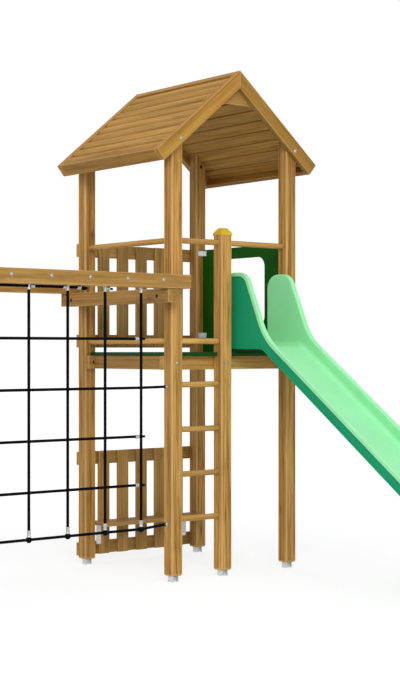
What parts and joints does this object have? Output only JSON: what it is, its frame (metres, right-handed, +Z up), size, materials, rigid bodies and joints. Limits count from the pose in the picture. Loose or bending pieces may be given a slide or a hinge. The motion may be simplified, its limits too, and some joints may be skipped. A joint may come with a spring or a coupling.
{
  "type": "play tower with slide",
  "caption": "Timber play tower with a pitched board roof, platform, rung ladder, plastic slide, windowed side panel, bench and a climbing-net bay.",
  "frame": {"origin": "centre of the underside of the steel foot below the front left post, on the ground", "axes": "+X along the front of the tower towards the slide side, +Y from the front to the back, +Z up; the slide leaves towards -Y and the net bay stands on the -X side"},
  "size_m": [3.004, 3.7556, 3.3903],
  "materials": {
    "timber": "oiled pine, satin",
    "barrier_board": "oiled pine boards, matt",
    "green_panel": "coated board, satin",
    "slide_plastic": "moulded plastic, soft gloss",
    "cap_plastic": "moulded plastic",
    "galvanised_steel": "hot-dip galvanised",
    "rope": "covered steel-core rope"
  },
  "bodies": {
    "root": {"post_front_left": "timber", "post_front_right": "timber", "post_rear_left": "timber", "post_rear_right": "timber", "post_ladder": "timber", "post_bay_front": "timber", "post_bay_rear": "timber", "post_cap": "cap_plastic", "foot_front_left": "galvanised_steel", "foot_front_right": "galvanised_steel", "foot_rear_left": "galvanised_steel", "foot_rear_right": "galvanised_steel", "foot_ladder": "galvanised_steel", "foot_bay_front": "galvanised_steel", "foot_bay_rear": "galvanised_steel", "platform_beam_front": "timber", "platform_beam_rear": "timber", "platform_beam_left": "timber", "platform_beam_right": "timber", "deck_board": "green_panel", "ladder_rung_1": "timber", "ladder_rung_2": "timber", "ladder_rung_3": "timber", "ladder_rung_4": "timber", "ladder_threshold": "timber", "rail_over_ladder": "timber", "rail_over_slide": "timber", "rail_left_top": "timber", "rail_left_low": "timber", "barrier_rail_top": "barrier_board", "barrier_rail_bottom": "barrier_board", "barrier_slat_1": "barrier_board", "barrier_slat_2": "barrier_board", "barrier_slat_3": "barrier_board", "barrier_slat_4": "barrier_board", "barrier_slat_5": "barrier_board", "low_barrier": "barrier_board", "bench_board": "timber", "bench_bracket_left": "galvanised_steel", "bench_bracket_right": "galvanised_steel", "side_panel": "green_panel", "panel_bracket_top": "galvanised_steel", "panel_bracket_bottom": "galvanised_steel", "slide": "slide_plastic", "slide_batten": "green_panel", "slide_stand": "galvanised_steel", "roof_slope_right": "timber", "roof_slope_left": "timber", "fascia_left": "timber", "fascia_right": "timber", "barge_front_left": "timber", "barge_front_right": "timber", "barge_rear_left": "timber", "barge_rear_right": "timber", "apex_gusset": "timber", "bay_beam_front": "timber", "bay_beam_rear": "timber", "cross_beam_near": "timber", "cross_beam_far": "timber", "net": "rope"}
  },
  "joints": []
}
